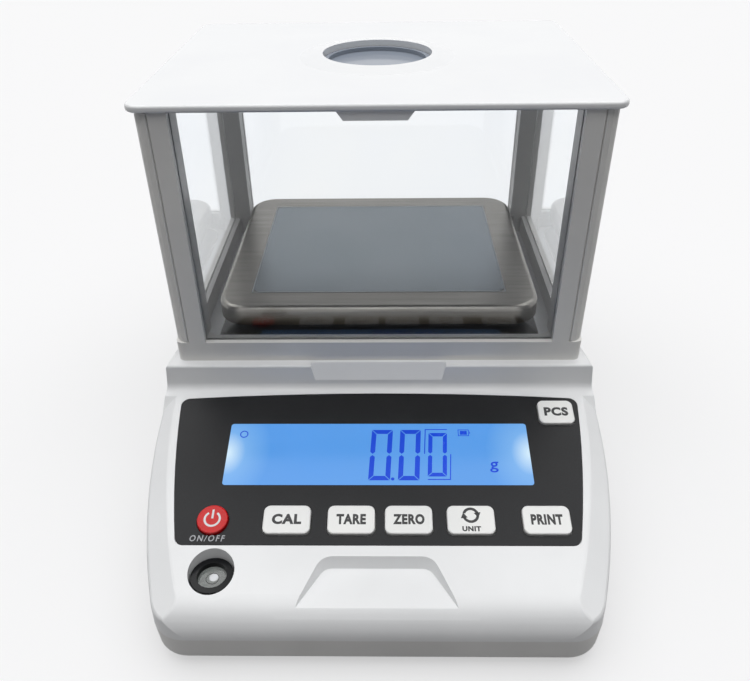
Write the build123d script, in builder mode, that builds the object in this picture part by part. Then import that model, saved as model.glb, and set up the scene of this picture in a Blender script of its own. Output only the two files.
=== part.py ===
from build123d import *
import os
from math import cos, radians, sin, tan

# Precision balance with a glazed draught shield, in millimetres.
# The origin is on the table under the middle of the body, +Z up, and the keypad faces -Y.

os.makedirs("parts", exist_ok=True)

# Body
body_depth = 260.0
body_half = 95.6             # half width at the widest place, beside the display
shield_side_half = 89.5      # half width beside the shield
front_half = 79.2            # half width at the front wall
flare_back_y = 19.5          # the sides start to swell here
flare_front_y = -46.0        # and are widest here
plan_corner = 14.0
foot_height = 5.0
lower_height = 11.5
ledge_height = 65.0
draft = 2.5                  # moulding draft of the side walls, degrees
lower_draft = 3.0
lower_round = 2.0
wall = 2.5
ledge_round = 1.2

# Sloping panel
panel_slope = 15.0
panel_top_y = -34.9
panel_drop = 12.0            # the top of the panel lies this far under the ledge
ledge_front_y = -29.6
step_tilt = 8.0
cove_radius = 4.0
front_roll = 13.0

# Facets beside the panel, by half width and distance down the slope
facet_angle = 30.0
facet_start = 0.5
facet_depth = 14.0
facet_lift = 0.6
facet_round = 2.0
crease_top = 88.5
crease_mid = 84.0
crease_mid_down = 45.0
crease_low = 61.5
crease_low_down = 115.0

# Keypad overlay
overlay_thick = 1.0
overlay_proud = 0.1
overlay_gap = 0.2
overlay_top_half = 85.7
overlay_mid_half = 81.4
overlay_low_half = 76.0
overlay_corner_down = 2.2    # top corners, down the slope
overlay_mid_down = 42.0
overlay_low_down = 69.8
overlay_bow = 2.9            # rise of the top edge in the middle
overlay_corner = 3.5
window_wide = 124.2
window_high = 29.2
window_down = 29.8           # middle of the display, down the slope
window_corner = 1.2
window_gap = 0.05

# Keys
key_high = 11.8
key_wide = 18.2
key_corner = 2.6
key_down = 59.9              # middle of the key row, down the slope
key_proud = 1.5
key_gap = 0.3
key_flange = 0.9
key_flange_thick = 1.2
key_edge = 0.6
key_travel = 0.8
stem_radius = 1.6
power_radius = 6.0
power_x = -63.3
row_keys = {"cal": -34.7, "tare": -10.0, "zero": 12.0, "unit": 35.7, "print": 64.5}
pcs_x = 75.5
pcs_down = 9.9
pcs_wide = 14.9

# Display and the board behind the panel
glass_rim = 0.6              # the display glass is this much larger than its window
glass_gap = 0.3
glass_thick = 2.0
module_thick = 6.0
module_rim = 3.0
board_thick = 1.6
board_half = 79.5
board_high_down = 2.5
board_low_down = 68.5
switch_size = 6.0
switch_high = 2.2
switch_base = 1.6
switch_play = 0.1
board_boss_radius = 2.6
board_boss_places = [(-50.6, -58.0), (50.0, -58.0), (-74.0, -30.0), (74.0, -30.0)]

# Spirit level
level_x = -60.9
level_y = -112.2
level_top = 30.0
level_recess = 8.6
level_ring_radius = 7.85
level_bore = 5.5
level_deep = 7.0
level_step = 2.0             # the vial's top lies this far under the ring's
vial_gap = 0.1
vial_wall = 0.8
vial_cap = 1.0

# Finger recess below the panel
recess_half = 19.5           # half width at the foot of its back wall
recess_spread = 30.0         # the sides open towards the front, degrees
recess_back_y = -108.2
recess_back_z = 28.9
recess_fall = 3.0            # slope of its floor, degrees
recess_lean = 22.0
recess_corner = 5.0
recess_margin = 17.0         # thick material beside the scoop

# Relief in the front edge of the ledge
relief_top_half = 29.7
relief_low_half = 27.7
relief_in = 2.5              # from the ledge's front edge
relief_high = 6.9

# Draught shield
shield_wide = 176.0
shield_deep = 141.8
shield_front_y = -25.5
base_high = 9.4
base_corner = 8.0
rail_wide = 7.1
pane_inset = 3.55            # middle of a pane, in from the outer face
pane_thick = 2.0
pane_play = 0.1
pane_groove = 2.5
pane_grip = 2.3              # how far a pane enters its posts
pane_top_gap = 0.5
post_size = 13.2
post_high = 99.4
post_corner = 6.5
flute_in = 5.5
flute_radius = 0.7
gusset_in = 11.6             # middle of the corner gusset, in from the side face
gusset_back = 4.9            # and in from the front or back face
gusset_radius = 4.8
gusset_high = 3.0
peg_in = 10.5
peg_radius = 1.5
peg_gap = 0.3
peg_high = 1.6
peg_room = 0.5
peg_edge = 0.3

# Lid
lid_wide = 180.9
lid_deep = 144.6
lid_thick = 2.8
lid_corner = 6.0
lid_round = 1.1
collar_radius = 33.5
collar_rise = 1.4
hole_radius = 23.6
collar_land = 1.0
step_radius = 22.4
step_thick = 1.0
cover_gap = 0.3
cover_flange = 0.6
cover_dish = 1.7
cover_wall = 0.9
tab_top_half = 14.1
tab_low_half = 11.6
tab_high = 3.4
tab_thick = 2.0
tab_proud = 0.2              # in front of the shield's front face
nub_x = 44.0
nub_in = 7.0
nub_size = 3.0
nub_high = 1.5

# Pan and what carries it
pan_wide = 143.0
pan_deep = 121.0
pan_y = 47.0
pan_top = 85.0
pan_high = 8.6
pan_sheet = 1.2
pan_corner = 13.0
pan_round = 2.4
film_wide = 114.7
film_deep = 94.3
film_corner = 5.0
film_thick = 0.15
plate_wide = 146.0
plate_deep = 125.6
plate_thick = 1.5
plate_corner = 13.0
column_radius = 8.0
column_gap = 3.0
arm_reach_x = 52.0
arm_reach_y = 42.0
arm_wide = 14.0
arm_thick = 5.0
spine_wide = 20.0
pad_radius = 5.0
pad_high = 2.3
cup_gap = 0.5
cup_wall = 1.2
cup_high = 1.5
block_high = 6.0

# Load cell
cell_long = 80.0
cell_wide = 15.0
cell_high = 22.0
cell_y = 45.4
cell_end_long = 25.0         # solid length at each end
cell_lobe = 6.5
cell_pad_high = 2.0
cell_base_high = 3.0
cell_base_rim = 5.0
cell_screw_in = 6.0
cell_screw_apart = 12.0
cell_screw_radius = 2.0
cell_screw_long = 26.0
cell_screw_head = 3.5
cell_head_high = 2.0

# Fasteners
screw_radius = 1.45
screw_gap = 0.05
screw_head_radius = 2.6
screw_head_high = 1.8
board_screw_long = 6.5
case_screw_long = 14.0
post_screw_long = 17.0
head_gap = 0.3
head_sink = 0.2

# Lower housing
lip_high = 2.0
lip_thick = 1.2
lip_gap = 0.3
lip_root = 3.0
foot_x = 72.0
foot_y = 104.0
foot_boss_radius = 7.5
foot_boss_high = 13.0
insert_radius = 4.5
insert_high = 9.0
stud_radius = 3.0
stud_gap = 0.05
stud_long = 11.5
stud_room = 0.5
wheel_radius = 11.5
wheel_high = 3.2
wheel_gap = 0.3
wheel_edge = 0.4
scallop_count = 16
scallop_radius = 1.3
rubber_radius = 9.5
case_boss_radius = 4.0
case_screw_places = [(-44.0, -113.0), (44.0, -113.0), (-86.0, -34.0), (86.0, -34.0)]
case_screw_places += [(-40.0, 121.0), (8.0, 121.0)]

# Battery
battery_wide = 52.0
battery_deep = 97.0
battery_high = 24.0
battery_x = -52.0
battery_y = 33.0
battery_gap = 0.8
battery_wall = 1.5
battery_wall_high = 12.0
battery_round = 2.0
door_thick = 2.0
door_rim = 2.0
door_end = 9.0
door_gap = 0.2
door_screw_in = 5.0
door_boss_high = 8.0

# Main board and its sockets
main_x = 49.0
main_y = 66.0
main_wide = 58.0
main_deep = 104.0
main_low = 20.0
main_boss_radius = 3.0
main_boss_in = 4.5
port_wide = 62.0
port_low = 21.0
port_high = 15.0
port_deep = 5.0
port_wall = 2.0
port_corner = 2.0
jack_x = 66.0
jack_wide = 9.0
jack_high = 10.0
jack_long = 14.0
jack_nose = 4.0
jack_proud = 1.0
jack_bore = 2.75
jack_bore_deep = 9.0
jack_pin = 1.05
serial_x = 40.0
serial_z = 28.3
flange_wide = 30.8
flange_high = 12.4
flange_thick = 1.0
flange_corner = 2.0
shell_wide = 16.9
shell_high = 8.3
shell_proud = 3.0
shell_thick = 0.6
shell_corner = 2.4
contact_radius = 0.5
contact_apart = 2.8
socket_gap = 0.3
neck_wide = 19.0
neck_high = 10.5
serial_long = 10.0
chip_size = 14.0
chip_high = 2.0

# Values worked out from the ones above
body_front = -body_depth / 2
body_back = body_depth / 2
parting_z = foot_height + lower_height
floor_z = foot_height + wall
panel_top_z = ledge_height - panel_drop
slope = radians(panel_slope)
panel = Plane(origin=(0, panel_top_y, panel_top_z), x_dir=(1, 0, 0), z_dir=(0, -sin(slope), cos(slope)))
overlay_floor = overlay_proud - overlay_thick
glass_floor = overlay_floor - glass_thick
board_top = glass_floor - module_thick
board_floor = board_top - board_thick
switch_top = board_top + switch_high
flange_top = -wall - key_gap
stem_low = switch_top + key_travel + switch_play
shield_half = shield_wide / 2
shield_y = shield_front_y + shield_deep / 2
base_top = ledge_height + base_high
pane_low = base_top - pane_groove
lid_low = base_top + post_high
lid_top = lid_low + lid_thick
collar_top = lid_top + collar_rise
pane_high = lid_low - pane_top_gap - pane_low
step_top = lid_low + step_thick
cover_top = step_top + cover_flange
pan_low = pan_top - pan_high
pad_low = pan_top - pan_sheet - pad_high
arm_low = pad_low - arm_thick
cell_pad_top = floor_z + cell_pad_high
cell_low = cell_pad_top + cell_base_high
cell_top = cell_low + cell_high
cell_free_y = cell_y - cell_long / 2
cell_fixed_y = cell_y + cell_long / 2
column_y = cell_free_y + cell_screw_in + cell_screw_apart / 2
main_top = main_low + board_thick
port_floor_y = body_back - port_deep
jack_z = main_top + jack_high / 2
wheel_top = foot_height - wheel_gap
wheel_low = wheel_top - wheel_high
fixed_screws = [(0, cell_fixed_y - cell_screw_in), (0, cell_fixed_y - cell_screw_in - cell_screw_apart)]
free_screws = [(0, cell_free_y + cell_screw_in), (0, cell_free_y + cell_screw_in + cell_screw_apart)]
sides = [(-1, -1), (1, -1), (-1, 1), (1, 1)]
foot_places = [(side * foot_x, end * foot_y) for side, end in sides]
main_places = [
    (main_x + side * (main_wide / 2 - main_boss_in), main_y + end * (main_deep / 2 - main_boss_in))
    for side, end in sides
]
door_reach = battery_deep / 2 + battery_gap + door_end - door_screw_in
door_places = [(battery_x, battery_y - door_reach), (battery_x, battery_y + door_reach)]
opening_wide = battery_wide + 2 * battery_gap
opening_deep = battery_deep + 2 * battery_gap


def save(part, name):
    part.label = name
    export_step(part, "parts/" + name + ".step")


def plan_sketch(height, inset):
    # Plan of the body at one height, drawn in by an inset
    with BuildSketch(Plane.XY.offset(height)) as plan:
        with BuildLine():
            back = Line((0, body_back), (-shield_side_half, body_back))
            side = Line(back @ 1, (-shield_side_half, flare_back_y))
            middle = (-(shield_side_half + body_half) / 2, (flare_back_y + flare_front_y) / 2)
            swell = TangentArc(side @ 1, middle, tangent=side % 1)
            crest = TangentArc(swell @ 1, (-body_half, flare_front_y), tangent=swell % 1)
            bow = TangentArc(crest @ 1, (-front_half, body_front), tangent=crest % 1)
            Line(bow @ 1, (0, body_front))
            mirror(about=Plane.YZ)
        make_face()
        corners = [v for v in plan.vertices() if abs(abs(v.Y) - body_back) < 0.01 and abs(v.X) > 1]
        fillet(corners, plan_corner)
        if inset:
            offset(amount=-inset)
    return plan.sketch


def front_region(inset):
    # Side view of all that lies in front of the step, the panel and the rolled front edge
    slope_run = tan(slope)
    draft_run = tan(radians(draft))
    tilt_run = tan(radians(step_tilt))
    top = ledge_height + 10
    plane_y = panel_top_y + sin(slope) * inset
    plane_z = panel_top_z - cos(slope) * inset
    front_y = body_front + inset / cos(radians(draft))
    meet_y = front_y + (plane_z - plane_y * slope_run - parting_z) * draft_run
    meet_y = meet_y / (1 - slope_run * draft_run)
    meet_z = plane_z + (meet_y - plane_y) * slope_run
    run = (front_roll - inset) * tan(radians(90 - panel_slope - draft) / 2)
    roll_top = (meet_y + run * cos(slope), meet_z + run * sin(slope))
    roll_end = (meet_y - run * sin(radians(draft)), meet_z - run * cos(radians(draft)))
    edge_y = ledge_front_y + inset
    cove_y = edge_y - (ledge_height - plane_z + plane_y * slope_run) * tilt_run
    cove_y = cove_y / (1 - slope_run * tilt_run)
    cove_z = plane_z + (cove_y - plane_y) * slope_run
    with BuildSketch(Plane.YZ) as region:
        with BuildLine():
            step = Polyline((edge_y + (top - ledge_height) * tilt_run, top), (cove_y, cove_z), roll_top)
            roll = TangentArc(step @ 1, roll_end, tangent=step % 1)
            Polyline(roll @ 1, (body_front * 1.5, roll_end[1]), (body_front * 1.5, top), step @ 0)
        make_face()
        fillet(region.vertices().sort_by_distance((0, cove_y, cove_z))[0], cove_radius + inset)
    return region.sketch


def facet_cutter(inset):
    # Wedge outside the right crease line of the panel
    reach = tan(radians(90 - facet_angle))
    shift = -facet_lift * reach - inset / sin(radians(facet_angle))
    top_y = -facet_start - shift
    low_x = crease_low + shift
    with BuildPart() as cutter:
        with BuildSketch(panel.offset(facet_lift)):
            with BuildLine():
                crease = ThreePointArc(
                    (crease_top + shift, top_y),
                    (crease_mid + shift, -crease_mid_down - shift),
                    (low_x, -crease_low_down - shift),
                )
                far = Polyline(crease @ 1, (low_x, -body_depth), (body_depth, -body_depth))
                Polyline(far @ 1, (body_depth, top_y), crease @ 0)
            make_face()
        down = panel.x_dir * reach - panel.y_dir * reach - panel.z_dir
        extrude(amount=facet_depth * down.length, dir=down.normalized())
    return cutter.part


def housing_form(inset):
    # Form of the upper housing, drawn in by an inset
    cutter = facet_cutter(inset)
    with BuildPart() as form:
        extrude(plan_sketch(parting_z, inset), amount=ledge_height - parting_z - inset, taper=draft)
        extrude(front_region(inset), amount=body_depth, both=True, mode=Mode.SUBTRACT)
        add(cutter, mode=Mode.SUBTRACT)
        add(mirror(cutter, about=Plane.YZ), mode=Mode.SUBTRACT)
        if not inset:
            long_edges = [e for e in form.edges() if e.length > body_depth / 4]
            beside = [e for e in long_edges if abs((e @ 0.5).X) > front_half and (e @ 0.5).Z > parting_z + 1]
            fillet([e for e in beside if (e @ 0.5).Y < flare_front_y], facet_round)
            heights = [(e, abs((e @ 0).Z - ledge_height) + abs((e @ 1).Z - ledge_height)) for e in form.edges()]
            fillet([e for e, off in heights if off < 0.01], ledge_round)
    return form.part


def overlay_sketch(level, grow):
    # Outline of the keypad overlay, with its bowed top edge and curved sides
    top_right = (overlay_top_half + grow, grow - overlay_corner_down)
    top_left = (-overlay_top_half - grow, grow - overlay_corner_down)
    mid_right = (overlay_mid_half + grow, -overlay_mid_down)
    mid_left = (-overlay_mid_half - grow, -overlay_mid_down)
    low_right = (overlay_low_half + grow, -overlay_low_down - grow)
    low_left = (-overlay_low_half - grow, -overlay_low_down - grow)
    with BuildSketch(panel.offset(level)) as outline:
        with BuildLine():
            Line(low_left, low_right)
            ThreePointArc(low_right, mid_right, top_right)
            ThreePointArc(top_right, (0, overlay_bow + grow - overlay_corner_down), top_left)
            ThreePointArc(top_left, mid_left, low_left)
        make_face()
        fillet(outline.vertices(), overlay_corner + grow)
    return outline.sketch


def window_sketch(level, grow):
    # Outline of the display window, grown on every side
    with BuildSketch(panel.offset(level)) as outline:
        with Locations((0, -window_down)):
            RectangleRounded(window_wide + 2 * grow, window_high + 2 * grow, window_corner + grow)
    return outline.sketch


def key_sketch(level, key, grow):
    # Outline of one key, grown on every side; a key without a width is round
    name, x, down, wide = key
    with BuildSketch(panel.offset(level)) as outline:
        with Locations((x, -down)):
            if wide:
                RectangleRounded(wide + 2 * grow, key_high + 2 * grow, key_corner + grow)
            else:
                Circle(power_radius + grow)
    return outline.sketch


keys = [(name + "_key", x, key_down, key_wide) for name, x in row_keys.items()]
keys = keys + [("pcs_key", pcs_x, pcs_down, pcs_wide), ("power_key", power_x, key_down, 0)]

# Scoop below the panel, with a leaning back wall and spread sides
fall = radians(recess_fall)
scoop_floor = Plane(
    origin=(0, recess_back_y, recess_back_z), x_dir=(1, 0, 0), z_dir=(0, -sin(fall), cos(fall))
)
scoop_half = recess_half + body_half * tan(radians(recess_spread))
with BuildPart() as scoop:
    with BuildSketch(scoop_floor) as scoop_outline:
        with BuildLine():
            Polyline(
                (-recess_half, 0),
                (-scoop_half, -body_half),
                (scoop_half, -body_half),
                (recess_half, 0),
                close=True,
            )
        make_face()
        fillet(scoop_outline.vertices().group_by(Axis.Y)[-1], recess_corner)
    extrude(amount=foot_y / 4, taper=-recess_lean)

# Material behind the scoop, the spirit level, the screws and the socket pocket
outer_form = housing_form(0)
inner_form = housing_form(wall)
backing_low = recess_back_z - wall - (recess_back_y - body_front) * tan(fall)
backing_back = recess_back_y + (panel_top_z - recess_back_z) * tan(radians(recess_lean)) / 3 + wall
with BuildPart() as backing:
    with BuildSketch(Plane.XY.offset(backing_low)):
        with Locations((0, (body_front + backing_back) / 2)):
            Rectangle(2 * (recess_half + recess_margin), backing_back - body_front)
    extrude(amount=ledge_height)
    with BuildSketch(Plane.XY.offset(level_top - level_deep - wall)):
        with Locations((level_x, level_y)):
            Circle(level_recess + wall)
    extrude(amount=ledge_height)
    with BuildSketch(Plane.XY.offset(parting_z)):
        with Locations(*case_screw_places):
            Circle(case_boss_radius)
    extrude(amount=ledge_height)
    with BuildSketch(Plane.XY.offset(port_low - port_wall)):
        with Locations((main_x, port_floor_y - port_wall + port_deep)):
            Rectangle(port_wide + 2 * port_wall, 2 * port_deep)
    extrude(amount=port_high + 2 * port_wall)
    add(outer_form, mode=Mode.INTERSECT)

# Upper housing
with BuildPart() as upper_housing:
    add(outer_form)
    add(inner_form, mode=Mode.SUBTRACT)
    add(backing.part)
    with BuildSketch(panel.offset(board_top)):
        with Locations(*board_boss_places):
            Circle(board_boss_radius)
    extrude(amount=-board_top - wall / 2)
    add(scoop.part, mode=Mode.SUBTRACT)
    with BuildSketch(Plane.XY.offset(level_top - level_deep)):
        with Locations((level_x, level_y)):
            Circle(level_recess)
    extrude(amount=ledge_height, mode=Mode.SUBTRACT)
    # Slanted relief in the front edge of the ledge, to get a finger under the shield
    relief_foot = relief_in + relief_high * tan(radians(step_tilt))
    relief_slant = (relief_foot**2 + relief_high**2) ** 0.5
    relief_plane = Plane(
        origin=(0, ledge_front_y + relief_in, ledge_height),
        x_dir=(1, 0, 0),
        z_dir=(0, -relief_high, relief_foot),
    )
    over = (relief_top_half - relief_low_half) / relief_slant
    with BuildSketch(relief_plane):
        with BuildLine():
            Polyline(
                (-relief_top_half - over * relief_high, relief_high),
                (relief_top_half + over * relief_high, relief_high),
                (relief_low_half, -relief_slant),
                (-relief_low_half, -relief_slant),
                close=True,
            )
        make_face()
    extrude(amount=relief_high, mode=Mode.SUBTRACT)
    # Recess for the overlay, then the openings for the display and the keys
    extrude(overlay_sketch(overlay_floor, overlay_gap), amount=cove_radius / 2, mode=Mode.SUBTRACT)
    extrude(window_sketch(-2 * wall, glass_rim + glass_gap), amount=2 * wall, mode=Mode.SUBTRACT)
    for key in keys:
        extrude(key_sketch(-2 * wall, key, key_gap), amount=2 * wall, mode=Mode.SUBTRACT)
    # Screw holes of the display board and of the lower housing
    with BuildSketch(panel.offset(board_top)):
        with Locations(*board_boss_places):
            Circle(screw_radius + screw_gap)
    extrude(amount=board_screw_long - board_thick + screw_gap, mode=Mode.SUBTRACT)
    with BuildSketch(Plane.XY.offset(parting_z)):
        with Locations(*case_screw_places):
            Circle(screw_radius + screw_gap)
    extrude(amount=case_screw_long / 2, mode=Mode.SUBTRACT)
    # Passage of the pan column
    with BuildSketch(Plane.XY.offset(ledge_height - 2 * wall)):
        with Locations((0, column_y)):
            Circle(column_radius + column_gap)
    extrude(amount=3 * wall, mode=Mode.SUBTRACT)
    # Pocket for the sockets in the back wall
    with BuildSketch(Plane.XZ.offset(-port_floor_y)):
        with Locations((main_x, port_low + port_high / 2)):
            RectangleRounded(port_wide, port_high, port_corner)
    extrude(amount=-2 * port_deep, mode=Mode.SUBTRACT)
    with BuildSketch(Plane.XZ.offset(-port_floor_y - port_wall / 2)):
        with Locations((jack_x, jack_z)):
            Circle(jack_nose + socket_gap)
        with Locations((serial_x, serial_z)):
            Rectangle(neck_wide + 2 * socket_gap, neck_high + 2 * socket_gap)
    extrude(amount=3 * port_wall, mode=Mode.SUBTRACT)
    # Moulded pegs that locate the shield
    with BuildSketch(Plane.XY.offset(ledge_height - wall / 2)):
        with Locations((0, shield_y)):
            with GridLocations(shield_wide - 2 * peg_in, shield_deep - 2 * peg_in, 2, 2):
                Circle(peg_radius)
    extrude(amount=peg_high + wall / 2)
    chamfer(upper_housing.edges().group_by(Axis.Z)[-1], peg_edge)
save(upper_housing.part, "upper_housing")

# Lower housing: a tray with bosses, a battery compartment and a lip that enters the upper housing
low_inset = lower_height * tan(radians(lower_draft))
with BuildPart() as lower_shell:
    extrude(plan_sketch(foot_height, low_inset), amount=lower_height, taper=-lower_draft)
    fillet(lower_shell.faces().sort_by(Axis.Z)[0].edges(), lower_round)
    extrude(plan_sketch(floor_z, low_inset + wall), amount=lower_height, taper=-lower_draft, mode=Mode.SUBTRACT)
with BuildPart() as lip:
    extrude(plan_sketch(parting_z - lip_root, wall - lip_thick), amount=lip_root)
    extrude(plan_sketch(parting_z, wall + lip_gap), amount=lip_high)
    lip_inset = wall + lip_gap + lip_thick
    extrude(plan_sketch(parting_z - lip_root, lip_inset), amount=lip_root + lip_high, mode=Mode.SUBTRACT)
with BuildPart() as lower_housing:
    add(lower_shell.part)
    add(lip.part)
    with BuildSketch(Plane.XY.offset(foot_height + wall / 2)):
        with Locations(*foot_places):
            Circle(foot_boss_radius)
    extrude(amount=foot_boss_high - wall / 2)
    with BuildSketch(Plane.XY.offset(foot_height + wall / 2)):
        with Locations(*case_screw_places):
            Circle(case_boss_radius)
    extrude(amount=lower_height - wall / 2)
    with BuildSketch(Plane.XY.offset(foot_height + wall / 2)):
        with Locations(*main_places):
            Circle(main_boss_radius)
    extrude(amount=main_low - foot_height - wall / 2)
    with BuildSketch(Plane.XY.offset(foot_height + wall / 2)):
        with Locations((0, cell_fixed_y - cell_end_long / 2)):
            Rectangle(cell_wide + 2 * cell_base_rim, cell_end_long + cell_base_rim)
    extrude(amount=cell_pad_high + wall / 2)
    with BuildSketch(Plane.XY.offset(foot_height + wall / 2)):
        with Locations(*door_places):
            Circle(case_boss_radius)
    extrude(amount=door_boss_high - wall / 2)
    with BuildSketch(Plane.XY.offset(foot_height + wall / 2)):
        with Locations((battery_x, battery_y)):
            Rectangle(opening_wide + 2 * battery_wall, opening_deep + 2 * battery_wall)
            Rectangle(opening_wide, opening_deep, mode=Mode.SUBTRACT)
    extrude(amount=battery_wall_high - wall / 2)
    with BuildSketch(Plane.XY.offset(foot_height)):
        with Locations((battery_x, battery_y)):
            Rectangle(opening_wide, opening_deep)
    extrude(amount=foot_boss_high * 2, mode=Mode.SUBTRACT)
    with BuildSketch(Plane.XY.offset(foot_height)):
        with Locations((battery_x, battery_y)):
            Rectangle(opening_wide + 2 * door_rim, opening_deep + 2 * door_end)
    extrude(amount=door_thick, mode=Mode.SUBTRACT)
    # Bores for the brass inserts and the foot studs
    with BuildSketch(Plane.XY.offset(foot_height)):
        with Locations(*foot_places):
            Circle(insert_radius)
    extrude(amount=insert_high, mode=Mode.SUBTRACT)
    with BuildSketch(Plane.XY.offset(foot_height)):
        with Locations(*foot_places):
            Circle(stud_radius + stud_gap)
    extrude(amount=stud_long - wheel_gap + stud_room, mode=Mode.SUBTRACT)
    # Screw passages with sunk heads
    with BuildSketch(Plane.XY.offset(foot_height)):
        with Locations(*case_screw_places):
            Circle(screw_head_radius + head_gap)
    extrude(amount=screw_head_high + head_sink, mode=Mode.SUBTRACT)
    with BuildSketch(Plane.XY.offset(foot_height)):
        with Locations(*case_screw_places):
            Circle(screw_radius + screw_gap)
    extrude(amount=2 * lower_height, mode=Mode.SUBTRACT)
    with BuildSketch(Plane.XY.offset(foot_height)):
        with Locations(*door_places):
            Circle(screw_radius + screw_gap)
    extrude(amount=door_boss_high - 1, mode=Mode.SUBTRACT)
    with BuildSketch(Plane.XY.offset(main_low)):
        with Locations(*main_places):
            Circle(screw_radius + screw_gap)
    extrude(amount=-board_screw_long + board_thick - screw_gap, mode=Mode.SUBTRACT)
    with BuildSketch(Plane.XY.offset(foot_height)):
        with Locations(*fixed_screws):
            Circle(cell_screw_head + head_gap)
    extrude(amount=cell_head_high + head_sink, mode=Mode.SUBTRACT)
    with BuildSketch(Plane.XY.offset(foot_height)):
        with Locations(*fixed_screws):
            Circle(cell_screw_radius + screw_gap)
    extrude(amount=lower_height, mode=Mode.SUBTRACT)
save(lower_housing.part, "lower_housing")

# Keypad overlay with its openings, and the clear window in it
with BuildPart() as keypad_overlay:
    extrude(overlay_sketch(overlay_floor, 0), amount=overlay_thick)
    extrude(window_sketch(overlay_floor, window_gap), amount=overlay_thick, mode=Mode.SUBTRACT)
    for key in keys:
        extrude(key_sketch(overlay_floor, key, key_gap), amount=overlay_thick, mode=Mode.SUBTRACT)
save(keypad_overlay.part, "keypad_overlay")

with BuildPart() as display_window:
    extrude(window_sketch(overlay_floor, 0), amount=overlay_thick)
save(display_window.part, "display_window")

with BuildPart() as display_glass:
    extrude(window_sketch(glass_floor, glass_rim), amount=glass_thick)
save(display_glass.part, "display_glass")

with BuildPart() as display_module:
    with BuildSketch(panel.offset(board_top)):
        with Locations((0, -window_down)):
            Rectangle(window_wide + 2 * module_rim, window_high + 2 * module_rim)
    extrude(amount=module_thick)
save(display_module.part, "display_module")

# Board behind the panel
with BuildPart() as display_board:
    with BuildSketch(panel.offset(board_floor)):
        with Locations((0, -(board_low_down + board_high_down) / 2)):
            Rectangle(2 * board_half, board_low_down - board_high_down)
        with Locations(*board_boss_places):
            Circle(screw_radius + screw_gap, mode=Mode.SUBTRACT)
    extrude(amount=board_thick)
save(display_board.part, "display_board")

with BuildPart() as key_switches:
    for name, x, down, wide in keys:
        with BuildSketch(panel.offset(board_top)):
            with Locations((x, -down)):
                Rectangle(switch_size, switch_size)
        extrude(amount=switch_base)
        with BuildSketch(panel.offset(board_top + switch_base)):
            with Locations((x, -down)):
                Circle(stem_radius)
        extrude(amount=switch_high - switch_base)
save(key_switches.part, "key_switches")

# Keys: a cap with rounded edges, a flange that holds it under the housing, and a stem
for key in keys:
    with BuildPart() as key_cap:
        extrude(key_sketch(flange_top, key, 0), amount=key_proud - flange_top)
        top_face = key_cap.faces().filter_by(lambda f: f.normal_at().dot(panel.z_dir) > 0.99)[0]
        fillet(top_face.edges(), key_edge)
        extrude(key_sketch(flange_top, key, key_flange), amount=-key_flange_thick)
        with BuildSketch(panel.offset(stem_low)):
            with Locations((key[1], -key[2])):
                Circle(stem_radius)
        extrude(amount=flange_top - stem_low)
    save(key_cap.part, key[0])

# Spirit level
level_floor = level_top - level_deep
vial_top = level_top - level_step
with BuildPart() as level_ring:
    with BuildSketch(Plane.XY.offset(level_floor)):
        with Locations((level_x, level_y)):
            Circle(level_ring_radius)
            Circle(level_bore, mode=Mode.SUBTRACT)
    extrude(amount=level_deep)
save(level_ring.part, "level_ring")

with BuildPart() as level_vial:
    with BuildSketch(Plane.XY.offset(level_floor)):
        with Locations((level_x, level_y)):
            Circle(level_bore - vial_gap)
    extrude(amount=vial_top - level_floor)
    with BuildSketch(Plane.XY.offset(level_floor + vial_wall)):
        with Locations((level_x, level_y)):
            Circle(level_bore - vial_gap - vial_wall)
    extrude(amount=vial_top - level_floor - vial_wall - vial_cap, mode=Mode.SUBTRACT)
save(level_vial.part, "level_vial")

with BuildPart() as level_fluid:
    with BuildSketch(Plane.XY.offset(level_floor + vial_wall)):
        with Locations((level_x, level_y)):
            Circle(level_bore - 2 * vial_gap - vial_wall)
    extrude(amount=vial_top - level_floor - vial_wall - vial_cap)
save(level_fluid.part, "level_fluid")

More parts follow.
